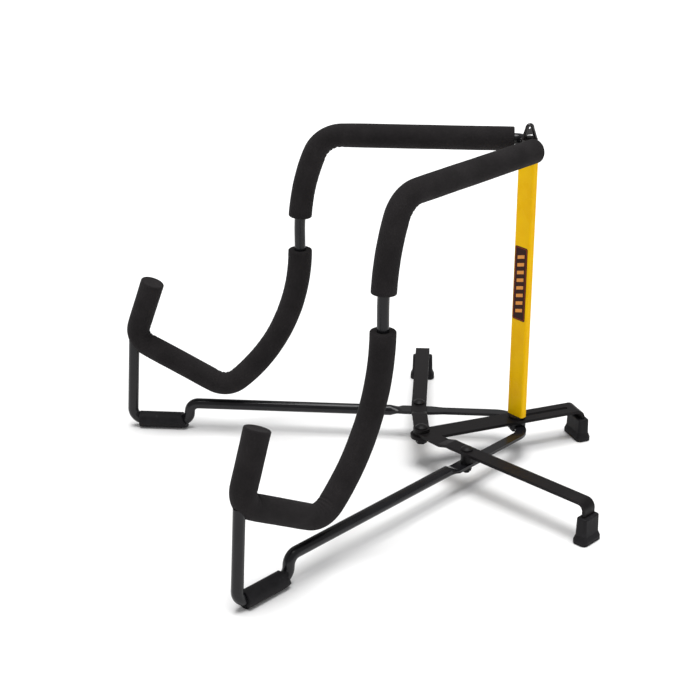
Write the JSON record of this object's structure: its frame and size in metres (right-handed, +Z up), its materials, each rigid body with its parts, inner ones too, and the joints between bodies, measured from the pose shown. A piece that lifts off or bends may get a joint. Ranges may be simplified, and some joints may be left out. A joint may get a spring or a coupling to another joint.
{
  "type": "folding guitar stand",
  "caption": "Low folding stand for a guitar: two foam-sleeved bent-rod cradles swing on a flat upright and fold together over a sliding base bar.",
  "frame": {"origin": "on the floor, under the middle of the open stand's outer box", "axes": "+Z up, -Y towards the instrument side where the cradles open, +X to the stand's right frame; the post's axis is on x = 0"},
  "size_m": [0.387, 0.4203, 0.327],
  "materials": {
    "foam": "matte closed-cell foam sleeve with a fine cell texture",
    "black_rod": "semi-gloss black powder coat",
    "black_flat": "satin black powder coat with a slight orange peel",
    "black_hardware": "blackened steel screws, nuts, washers and spacers",
    "black_wire": "gloss black bent wire",
    "rubber": "moulded rubber, soft sheen",
    "post_paint": "smooth yellow gloss paint",
    "label": "dark film label with a plain orange border",
    "zinc_steel": "plated steel plug inside the post"
  },
  "bodies": {
    "post": {"post_tube": "post_paint", "post_label": "label", "post_bottom_plug": "zinc_steel", "post_top_plug": "zinc_steel", "bottom_screw": "black_hardware", "bottom_washer": "black_hardware", "top_screw": "black_hardware", "top_washer": "black_hardware", "hang_loop": "black_wire"},
    "right_frame": {"right_cradle_rod": "black_rod", "right_leg_rod": "black_rod", "right_upper_foam": "foam", "right_lower_foam": "foam", "right_front_foot_sleeve": "rubber", "right_link_bolt": "black_hardware", "right_link_spacer": "black_hardware"},
    "right_link": {"right_side_link": "black_flat", "right_foot_cap": "rubber"},
    "left_frame": {"left_cradle_rod": "black_rod", "left_leg_rod": "black_rod", "left_upper_foam": "foam", "left_lower_foam": "foam", "left_front_foot_sleeve": "rubber", "left_link_bolt": "black_hardware", "left_link_spacer": "black_hardware"},
    "left_link": {"left_side_link": "black_flat", "left_foot_cap": "rubber", "nose_bolt_head": "black_hardware"},
    "centre_slide": {"centre_bar": "black_flat", "rear_foot_cap": "rubber", "nose_bolt_nut": "black_hardware"}
  },
  "joints": [
    {"name": "right_frame_fold", "type": "hinge", "parent": "post", "child": "right_frame", "pos_m": [0, 0.13458, 0.03], "axis": [0, 0, -1], "range_deg": [0, 25.5]},
    {"name": "left_frame_fold", "type": "hinge", "parent": "post", "child": "left_frame", "pos_m": [0, 0.13458, 0.03], "axis": [0, 0, 1], "range_deg": [0, 25.6]},
    {"name": "right_link_turn", "type": "hinge", "parent": "right_frame", "child": "right_link", "pos_m": [0.05649, 0.05516, 0.039], "axis": [0, 0, 1], "range_deg": [0, 78.66]},
    {"name": "left_link_turn", "type": "hinge", "parent": "left_frame", "child": "left_link", "pos_m": [-0.05649, 0.05516, 0.042], "axis": [0, 0, -1], "range_deg": [0, 78.66]},
    {"name": "centre_bar_slide", "type": "slide", "parent": "post", "child": "centre_slide", "axis": [0, -1, 0], "range_m": [0, 0.0533]}
  ],
  "couplings": [
    {"joint": "left_frame_fold", "follows": "right_frame_fold", "ratio": 1},
    {"joint": "right_link_turn", "follows": "right_frame_fold", "ratio": 3.0769},
    {"joint": "left_link_turn", "follows": "right_frame_fold", "ratio": 3.0769},
    {"joint": "centre_bar_slide", "follows": "right_frame_fold", "m_per_rad": 0.1193}
  ]
}
